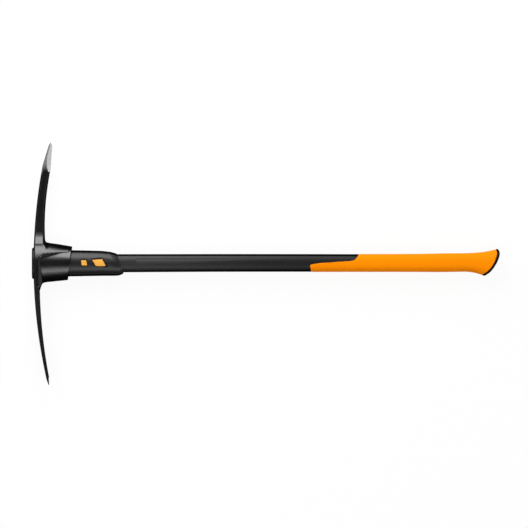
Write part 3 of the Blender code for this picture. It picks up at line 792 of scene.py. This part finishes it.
# %% Rings of the gusset, facet, web and slope
def skirt_half_depth(x, y):
    """Half the skirt's depth at a point of its side."""
    table = [station[:4] for station in SKIRT]
    middle_y, half_y, half_z = table_at(table, x)
    return half_z * (1 - abs((y - middle_y) / half_y) ** SKIRT_OVAL) ** (1 / SKIRT_OVAL)


gusset_rings = []
for x, *flank in GUSSET:
    foot_y, foot = flank[-1]
    profile = [*flank, (foot_y - 0.5, foot - 4), (0, foot - 8)]
    gusset_rings.append(mirrored([(x, y, z) for y, z in profile]))
facet_rings = []
for x, low_y, high_y in FACET:
    low = skirt_half_depth(x, low_y) + 0.1
    high = low - FACET_FALL * (high_y - low_y)
    facet_rings.append(mirrored([(x, high_y + 1, high), (x, low_y, low), (x, 0, low - 6)]))
web_rings = []
for x, depth in WEB:
    half = min(table_at(BELT_SLOPE, x)[0], 25) if x < 15 else 8
    web_rings.append(mirrored([(x, -20, half), (x, 4 - depth, half), (x, -depth, half - 4)]))
slope_rings = []
for y, end_x in SLOPE_ENDS:
    places = (-4, 0.4, min(8, end_x - 1), end_x)
    slope_rings.append(mirrored([(x, y, table_at(BELT_SLOPE, x)[0]) for x in places]))
parts = (("gusset", gusset_rings), ("facet", facet_rings), ("web", web_rings), ("slope", slope_rings))
print({name: len(rings) for name, rings in parts}, "rings")

# %% Join them to the arms
skirt = oval_bar("skirt", SKIRT, SKIRT_OVAL, 16)
for part in (skirt, *(corner_bar(*named) for named in parts)):
    cut(head, part, "UNION")
report(head)

# %% [markdown]
# ## The forged head: one skin
#
# A forging has no creases where its masses meet: the metal has flowed, and its corners are
# soft. Remeshing the joined bars into small even squares makes one skin of them, and
# smoothing that skin rounds every edge by a millimetre or two. The corner under the pick
# arm, where the metal turns the most, is smoothed further. The skirt's rim and the seats
# for handle, boot and cap are machined afterwards, so they stay crisp.

# %% Remesh and soften
SQUARE_SIZE = 0.8
apply_modifier(head, "REMESH", mode="VOXEL", voxel_size=SQUARE_SIZE * MM, use_smooth_shade=True)
apply_modifier(head, "SMOOTH", factor=0.5, iterations=8)
report(head)


# %% Soften two corners further
GUSSET_CORNER = ((9, 22), (22, 54), 9)
FLANK_STEP = ((8, 24), (21, 39), 16)


def in_region(low, high):
    """A test for points: inside a rectangle of the drawing, at any height."""
    return lambda vert: all(low[i] < middle(vert)[i] < high[i] for i in (0, 1))


edit(head, "VERT")
for corner, opposite, times in (GUSSET_CORNER, FLANK_STEP):
    count = pick("verts", in_region(corner, opposite))
    bpy.ops.mesh.vertices_smooth(factor=0.5, repeat=times)
    print(count, "points smoothed", times, "times")
close_edit()

# %% Cut the rim and chamfer it
edit(head)
select_all()
rim_normal = Vector((1, -RIM_SLANT, 0)).normalized()
cut_at = ((RIM_X - RIM_ROUNDING) * MM, 0, 0)
bpy.ops.mesh.bisect(plane_co=cut_at, plane_no=rim_normal, use_fill=True, clear_outer=True)
pick("faces", lambda face: face.normal.dot(rim_normal) > 0.999 and face.calc_area() > 0.0005)
bpy.ops.mesh.inset(thickness=0.3 * RIM_ROUNDING * MM, depth=0.7 * RIM_ROUNDING * MM)
bpy.ops.mesh.inset(thickness=0.7 * RIM_ROUNDING * MM, depth=0.3 * RIM_ROUNDING * MM)
close_edit()
report(head)

# %% Seats for the handle, the boot and the cap
EYE = ((-20, 27.9, 18.7), (20, 24.8, 16.8), (46, 23.6, 16.4), (90, 23.6, 16.4))
cut(head, bowed_bar("eye", EYE))
boot_seat = (bow(50), BOOT[0][1] + GAP, BOOT[0][2] + GAP, RIM_SLANT)
cut(head, oval_bar("boot_seat", [(x, *boot_seat) for x in (49.7, 90)], FITTED_OVAL))
cap_seat = (bow(0), *(half + GAP for half in CAP_HALVES), 0)
cut(head, oval_bar("cap_seat", [(x, *cap_seat) for x in (-30, -7.9)], FITTED_OVAL))
report(head)

# %% [markdown]
# ## Grinding the point and the edge
#
# The smith hardens the tool and then grinds it. Each wheel pass leaves one flat, with a
# hollow run-out of the wheel's own radius where it starts. The flats cut through the paint,
# so their faces go into material slots of their own. Two inner flats and a narrow strip
# between them face the handle, two outer flats face away, and the very end is blunted.
# A Boolean with a plain block leaves faces as flat as a wheel's, which moved points don't.

# %% One pass of the wheel
PAINTED, BRIGHT, DULL = 0, 1, 2
WHEEL_RADIUS = 80.0
WHEEL_RUN_OUT = 24
FIRST_REACH = 42
pass_number = itertools.count()  # each block is a little larger, so that no two faces coincide


def add_slots(piece):
    """Three empty slots: painted, bright and dull."""
    work_on(piece)
    for _ in (PAINTED, BRIGHT, DULL):
        bpy.ops.object.material_slot_add()


def grinding_block(point, out, along, slot, wheel=False):
    """What one pass takes off. Its inner face becomes the flat and passes its slot on."""
    reach = FIRST_REACH + 1.3 * next(pass_number)
    outline = [(reach, 0), (reach, reach), (-reach, reach)]
    if wheel:
        for back in steps_between(WHEEL_RUN_OUT, 0, 8):
            outline.append((-back, WHEEL_RADIUS - math.sqrt(WHEEL_RADIUS**2 - back**2)))
    else:
        outline.append((-reach, 0))
    taken = block("taken", outline, -reach, reach)
    out = Vector(out).normalized()
    down = (Vector(along) - out * out.dot(Vector(along))).normalized()
    turn = Matrix((down, out, down.cross(out))).transposed().to_4x4()
    taken.matrix_world = Matrix.Translation((Vector(point) + Vector((0, 0, MIDDLE_Z))) * MM) @ turn
    work_on(taken)
    bpy.ops.object.transform_apply()
    add_slots(taken)
    edit(taken)
    select_all()
    taken.active_material_index = slot
    bpy.ops.object.material_slot_assign()
    close_edit()
    return taken


# %% Grind the point
down_pick = (0.068, 1, 0)
passes = [grinding_block((25.4, 203, 0), (1, -0.068, 0), down_pick, BRIGHT)]
for side in (1, -1):
    inner = (1, -0.068, 1.05 * side)
    outer = (-1, 0.311, 0.42 * side)
    passes.append(grinding_block((24.6, 199.5, 2.1 * side), inner, down_pick, BRIGHT, wheel=True))
    passes.append(grinding_block((15.5, 214.5, 0), outer, (0.311, 1, 0), DULL))
    passes.append(grinding_block((24, 233.4, 4.2 * side), (0, 1, 1.1 * side), (0, 1, -1), DULL))
passes.append(grinding_block((21, 231, 0), (-0.8, 0.6, 0), (0.6, 0.8, 0), DULL))
passes.append(grinding_block((26.4, 231.3, 0), (0.86, 0.5, 0), (-0.5, 0.86, 0), BRIGHT))
all_passes = passes[0]
for another in passes[1:]:
    cut(all_passes, another, "UNION")
report(all_passes)
add_slots(head)
cut(head, all_passes)
report(head)

# %% Grind the edge of the blade
blade_end = grinding_block((0, BLADE_TIP_Y, 0), (0, -1, 0), (1, 0, 0), BRIGHT)
for x, out, along in ((21.4, (1, 0.05, 0), (-0.05, 1, 0)), (20.2, (-1, -0.367, 0), (-0.367, 1, 0))):
    cut(blade_end, grinding_block((x, BLADE_TIP_Y, 0), out, along, BRIGHT), "UNION")
cut(head, blade_end)
merge_points(head)
shade(head, 25)

# %% [markdown]
# ## Shader maths as Python
#
# A finish is a small graph of nodes. Wiring it by hand in code hides what it does, so one
# class wraps an output socket and turns arithmetic on it into Math nodes. With it, a mask
# reads as the sum that it is, and any other node comes from one method.


# %% A socket that does sums
class Wire:
    """One output socket. Arithmetic with it adds Math nodes."""

    def __init__(self, finish, socket):
        self.finish = finish
        self.socket = socket

    def sum_with(self, operation, *values):
        sockets = dict(enumerate(values))
        return self.finish.node("ShaderNodeMath", {"operation": operation}, sockets)

    def __add__(self, other):
        return self.sum_with("ADD", self, other)

    __radd__ = __add__

    def __sub__(self, other):
        return self.sum_with("SUBTRACT", self, other)

    def __rsub__(self, other):
        return self.sum_with("SUBTRACT", other, self)

    def __mul__(self, other):
        return self.sum_with("MULTIPLY", self, other)

    __rmul__ = __mul__

    def clamped(self):
        return self.finish.node("ShaderNodeClamp", {}, {"Value": self})

    def ramp(self, low, high):
        """0 below low, 1 above high, and a smooth rise between them."""
        settings = {"interpolation_type": "SMOOTHSTEP"}
        return self.finish.node("ShaderNodeMapRange", settings, {0: self, 1: low, 2: high})


# %% A finish and its nodes
class Finish:
    """A material under construction: its Principled shader and the nodes that feed it."""

    def __init__(self, name, **plain):
        self.material = bpy.data.materials.new(name)
        self.material.use_nodes = True
        self.tree = self.material.node_tree
        self.shader = self.tree.nodes["Principled BSDF"]
        for socket, value in plain.items():
            self.shader.inputs[socket.replace("_", " ")].default_value = value

    def node(self, kind, settings=None, sockets=None, output=0):
        """Adds a node: settings first, then each socket's value or link."""
        made = self.tree.nodes.new(kind)
        for setting, value in (settings or {}).items():
            setattr(made, setting, value)
        for socket, value in (sockets or {}).items():
            if isinstance(value, Wire):
                self.tree.links.new(value.socket, made.inputs[socket])
            else:
                made.inputs[socket].default_value = value
        return Wire(self, made.outputs[output])

    def place(self):
        """The point on the object, in millimetres."""
        where = self.node("ShaderNodeTexCoord", output="Object")
        return self.node("ShaderNodeVectorMath", {"operation": "SCALE"}, {0: where, "Scale": 1 / MM})

    def along(self, axis):
        """How far the point lies along one axis, in millimetres."""
        return self.node("ShaderNodeSeparateXYZ", {}, {0: self.place()}, axis)

    def noise(self, size, detail=2.0, roughness=0.5, stretch=(1, 1, 1)):
        """Noise with features of a size in millimetres, from about 0 to 1."""
        drawn = {"Vector": self.place(), "Scale": [1 / along for along in stretch]}
        where = self.node("ShaderNodeMapping", {}, drawn)
        sockets = {"Vector": where, "Scale": 1 / size, "Detail": detail, "Roughness": roughness}
        return self.node("ShaderNodeTexNoise", {}, sockets)

    def mix(self, factor, low, high):
        """A colour between two colours."""
        low, high = ((*c, 1.0) if isinstance(c, tuple) else c for c in (low, high))
        return self.node("ShaderNodeMix", {"data_type": "RGBA"}, {"Factor": factor, 6: low, 7: high}, 2)

    def feed(self, **links):
        """Links wires to the shader's sockets by name."""
        for socket, wire in links.items():
            self.tree.links.new(wire.socket, self.shader.inputs[socket.replace("_", " ")])

    def bump(self, *layers):
        """Bumps laid over each other, each with a height from 0 to 1 and a depth in mm."""
        normal = None
        for height, depth in layers:
            sockets = {"Height": height, "Distance": depth * MM, "Strength": 1.0}
            if normal:
                sockets["Normal"] = normal
            normal = self.node("ShaderNodeBump", {}, sockets)
        self.feed(Normal=normal)

    def blend(self, factor, other):
        """Blends the surface towards another shader, by a factor from 0 to 1."""
        sockets = {0: factor, 1: Wire(self, self.shader.outputs[0]), 2: other}
        mixed = self.node("ShaderNodeMixShader", {}, sockets)
        self.tree.links.new(mixed.socket, self.tree.nodes["Material Output"].inputs["Surface"])

    def paint_shade_on_edges(self, start=0.17, end=0.31, shade_amount=0.0):
        """Paints shade in place of the gloss where the surface turns from the eye, and more painted shade
        by a given amount.
        """
        turned = self.node("ShaderNodeLayerWeight", {}, {"Blend": 0.5}, "Facing")
        # A near-black surface, blended in as painted shade in place of the reflection.
        painted_black = self.node("ShaderNodeBsdfDiffuse", {}, {"Color": (0.003, 0.003, 0.003, 1)})
        self.blend((turned.ramp(start, end) + shade_amount).clamped(), painted_black)

    def on(self, *pieces, slot=0):
        """Puts the finish into a slot of each piece."""
        for piece in pieces:
            if not piece.data.materials:
                piece.data.materials.append(None)
            piece.data.materials[slot] = self.material
            print(self.material.name, "on", piece.name, "slot", slot)


# %% [markdown]
# ## Black paint on forged steel
#
# The head wears a satin black powder coat. Sprayed powder melts into a skin with a very
# fine orange peel, and under it the broader unevenness of the forging still shows. The coat
# is rubbed grey towards the point. Where it turns away from the eye, painted shade takes
# the place of its gloss and darkens it.
# A picture of paint would need unwrapping, and noise on the object's own place doesn't.

# %% Black paint
paint = Finish("satin_black_paint", Specular_IOR_Level=0.85)
peel = paint.noise(0.9, 2)
forging = paint.noise(16, 3)
cloud = paint.noise(45, 2)
worn = (paint.along("Y") + 10 * paint.noise(4, 3)).ramp(182, 203)
whole = 1 - worn
coat = paint.mix(cloud.ramp(0.3, 0.7), (0.003, 0.003, 0.0032), (0.004, 0.004, 0.0042))
RUBBED_GREY = (0.15, 0.15, 0.155)
paint.feed(
    Base_Color=paint.mix(whole, RUBBED_GREY, coat),
    Roughness=0.46 + 0.08 * cloud + 0.04 * peel - 0.3 * whole,
)
paint.bump((forging, 0.22), (peel, 0.018))
# Painted shade where the coat turns from the eye.
paint.paint_shade_on_edges(0.13, 0.30)
paint.on(head, slot=PAINTED)

# %% [markdown]
# ## Ground steel
#
# A wheel's scratches all run one way, here across the arm, so their noise is stretched far
# along x. The flats towards the handle are bright, and the outer ones dull and part dark.

# %% Bright and dull steel
def grained(name, grain, colours, roughness, rougher, depth, **plain):
    """A finish whose colour, gloss and bump all follow one noise."""
    finish = Finish(name, **plain)
    pattern = finish.noise(**grain)
    finish.feed(Base_Color=finish.mix(pattern, *colours), Roughness=roughness + rougher * pattern)
    finish.bump((pattern, depth))
    return finish


SCRATCHES = {"size": 0.35, "detail": 3, "roughness": 0.6, "stretch": (30, 1, 1)}
STEELS = ((0.86, 0.86, 0.87), (0.97, 0.97, 0.97))
grained("ground_steel", SCRATCHES, STEELS, 0.26, 0.20, 0.02, Metallic=1.0).on(head, slot=BRIGHT)

dull = Finish("dull_ground_steel")
grain = dull.noise(0.5, 3, 0.6, stretch=(20, 1, 1))
bare = (dull.along("Y") + 8 * dull.noise(5, 3)).ramp(188, 198)
dull.feed(
    Base_Color=dull.mix(bare, (0.04, 0.04, 0.042), RUBBED_GREY),
    Metallic=0.5 * bare,
    Roughness=0.50 + 0.18 * grain,
)
dull.bump((grain, 0.03))
dull.on(head, slot=DULL)

# %% [markdown]
# ## Plastic and rubber
#
# The shaft is moulded in black composite with a fine lengthwise grain. Towards the grip
# it is blended up to half-way into black, as painted shade. The boot and the eye cap are
# black rubber from a spark-eroded mould, which leaves a fine even speckle. The butt plate
# takes the knocks and is a harder, duller rubber. The grip is soft orange rubber with the
# same kind of skin.
# Bump from noise shows such fine skins without the millions of faces that carving needs.

# %% The shaft's composite
composite = Finish("black_composite", Specular_IOR_Level=0.45)
strands = composite.noise(0.6, 3, 0.6, stretch=(40, 1, 1))
skin = composite.noise(0.5, 2)
drift = composite.noise(60, 2)
composite.feed(
    Base_Color=composite.mix(drift, (0.008, 0.008, 0.0084), (0.011, 0.011, 0.0114)),
    Roughness=0.38 + 0.10 * drift + 0.06 * skin,
)
composite.bump((strands, 0.02), (skin, 0.02))
# Painted shade on the edges, and painted shade rising to half-way black from x = 130 to 540 mm.
composite.paint_shade_on_edges(shade_amount=0.5 * composite.along("X").ramp(130, 540))
composite.on(shaft)


# %% The rubbers
def rubber_finish(name, specular, colours, roughness, uneven=0.10, speckle_size=0.45, drift_size=30):
    """Moulded rubber: a fine speckle, and a colour and gloss that drift a little."""
    rubber = Finish(name, Specular_IOR_Level=specular)
    speckle = rubber.noise(speckle_size, 2, 0.7)
    drift = rubber.noise(drift_size, 2)
    rubber.feed(
        Base_Color=rubber.mix(drift, *colours),
        Roughness=roughness + uneven * drift + 0.06 * speckle,
    )
    rubber.bump((speckle, 0.04))
    return rubber


BLACKS = ((0.007, 0.007, 0.0073), (0.010, 0.010, 0.0103))
BUTT_BLACKS = ((0.004, 0.004, 0.004), (0.006, 0.006, 0.006))
ORANGES = ((0.98, 0.257, 0.0), (1.0, 0.272, 0.0))

rubber = rubber_finish("black_rubber", 0.45, BLACKS, 0.27, uneven=0.08)
# Painted shade where the rubber turns from the eye.
rubber.paint_shade_on_edges(0.22, 0.38)
rubber.on(boot, cap)

butt_rubber = rubber_finish("black_butt_rubber", 0.12, BUTT_BLACKS, 0.50)
# Painted shade where the butt rubber turns from the eye.
butt_rubber.paint_shade_on_edges()
butt_rubber.on(butt)

rubber_finish("orange_rubber", 0.03, ORANGES, 0.50, speckle_size=0.5, drift_size=40).on(grip)

# %% The orange sleeve, and the hidden liner and core
SPECKLE = {"size": 0.4}
SLEEVE_ORANGES = ((0.78, 0.370, 0.042), (0.84, 0.410, 0.056))
sleeve_skin = grained("orange_sleeve", SPECKLE, SLEEVE_ORANGES, 0.45, 0.1, 0.02, Specular_IOR_Level=0.4)
sleeve_skin.on(sleeve)

PORES = {"size": 0.8, "detail": 4, "roughness": 0.7}
GREYS = ((0.14, 0.14, 0.145), (0.22, 0.22, 0.225))
liner_grey = grained("grey_foam_rubber", PORES, GREYS, 0.75, 0.15, 0.1, Specular_IOR_Level=0.3)
liner_grey.on(frame["nodes"]["damping_liner"])

FIBRES = {"size": 0.3, "detail": 4, "roughness": 0.6, "stretch": (120, 1, 1)}
GLASS = ((0.46, 0.44, 0.26), (0.66, 0.63, 0.45))
glass_bar = grained("glass_fibre_bar", FIBRES, GLASS, 0.28, 0.20, 0.03, Specular_IOR_Level=0.5)
glass_bar.on(frame["nodes"]["core_bar"])

# %% [markdown]
# ## Handing the pieces over
#
# Each new piece stands for one imported node, which is hidden, and rides on the tool's one
# body. The liner and the core can't be seen, so their imported shapes stay as they are.

# %% Ride and replace
PIECES = (
    (head, "pick_head", "painted_steel"),
    (cap, "eye_cap", "black_elastomer"),
    (boot, "neck_boot", "black_elastomer"),
    (sleeve, "insulation_sleeve", "orange_elastomer"),
    (shaft, "handle_shell", "black_plastic"),
    (grip, "hand_grip", "orange_grip"),
    (butt, "butt_cap", "black_elastomer"),
)
fresh_start()
for piece, node, slot in PIECES:
    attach(piece, "root")
    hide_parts(node)
    print(piece.name, "stands for", node)

# %% [markdown]
# ## Floor, light and camera
#
# The tool lies on a pale floor and is seen from straight above, with its handle level in
# the picture. A bank of long soft boxes hangs on each side of the handle, brightest in its
# middle and dimmer outwards, so that the black parts get lines of light with soft borders.
# One big lamp would light them evenly and hide their form. The floor is white by its own
# colour, and it keeps a soft shadow.

# %% Floor
LIT_WHITE = (0.92, 0.92, 0.92)
SEEN_WHITE = (0.95, 0.95, 0.95)
GLOW_PART = 0.93

fresh_start()
bpy.ops.mesh.primitive_plane_add(size=40, location=(0.44, 0, -0.2 * MM))
floor = bpy.context.object
floor.name = "floor"
pale = Finish("pale_floor", Roughness=0.9, Specular_IOR_Level=0.0)
kinds = ("Camera", "Glossy", "Transmission")
seen = sum(pale.node("ShaderNodeLightPath", output=f"Is {kind} Ray") for kind in kinds).clamped()
pale.feed(Base_Color=pale.mix(seen, LIT_WHITE, SEEN_WHITE))
pale.blend(seen * GLOW_PART, pale.node("ShaderNodeEmission"))
pale.on(floor)


# %% Soft boxes and banks of them
LAMP_DISTANCE = 3.0
LAMP_TARGET_Z = 0.03


def soft_box(name, over_x, lean, size, radiance, side="Y"):
    """A rectangular lamp over a place on the handle, leaning from the zenith to a side."""
    sine, cosine = math.sin(math.radians(lean)), math.cos(math.radians(lean))
    upwards = Vector((0, sine, cosine)) if side == "Y" else Vector((sine, 0, cosine))
    level = Vector((1, 0, 0)) if side == "Y" else Vector((0, 1, 0))
    place = Vector((over_x, 0, LAMP_TARGET_Z)) + LAMP_DISTANCE * upwards
    fresh_start()
    bpy.ops.object.light_add(type="AREA", location=place)
    lamp = bpy.context.object
    lamp.name = name
    lamp.data.shape = "RECTANGLE"
    lamp.data.size, lamp.data.size_y = size
    lamp.data.energy = radiance * math.pi * size[0] * size[1]
    lamp.rotation_euler = Matrix((level, upwards.cross(level), upwards)).transposed().to_euler()
    lamp.visible_camera = False
    print(name, "at", [round(v, 2) for v in place], round(lamp.data.energy, 1), "W")


def strip_bank(name, over_x, length, leans, radiances):
    """Soft boxes edge to edge between leans, for light with a soft border."""
    for low, high, radiance in zip(leans, leans[1:], radiances):
        depth = 2 * LAMP_DISTANCE * math.tan(math.radians(abs(high - low)) / 2)
        soft_box(f"{name}_{abs(low)}", over_x, (low + high) / 2, (length, depth), radiance)


# %% Light
strip_bank("key", -0.5, 3.0, (15, 20, 25, 30, 58, 76, 92), (0.35, 1.4, 3.1, 5.0, 4.2, 1.6))
strip_bank("fill", 0.5, 5.0, (-12, -17, -25, -38, -46, -56), (0.5, 1.7, 2.5, 0.9, 0.3))
soft_box("left", 0.2, -60, (4.0, 2.4), 0.35, side="X")
soft_box("right", 0.7, 56, (4.0, 3.4), 0.42, side="X")

ROOM_LIGHT = 0.015
world = bpy.data.worlds.new("studio")
bpy.context.scene.world = world
world.use_nodes = True
background = world.node_tree.nodes["Background"]
background.inputs["Color"].default_value = (1, 1, 1, 1)
background.inputs["Strength"].default_value = ROOM_LIGHT

# %% Camera
DISTANCE = 25.0
PICTURE_WIDTH = 1.032
PICTURE_MIDDLE = (0.4410, -0.00215)
SENSOR_WIDTH = 36

fresh_start()
bpy.ops.object.camera_add(location=(*PICTURE_MIDDLE, MIDDLE_Z * MM + DISTANCE), rotation=(0, 0, 0))
camera = bpy.context.object
camera.data.sensor_width = SENSOR_WIDTH
camera.data.lens = SENSOR_WIDTH * DISTANCE / PICTURE_WIDTH
camera.data.clip_end = 60
scene = bpy.context.scene
scene.camera = camera
scene.view_settings.view_transform = "Standard"
print("lens of", round(camera.data.lens), "mm from", DISTANCE, "m")
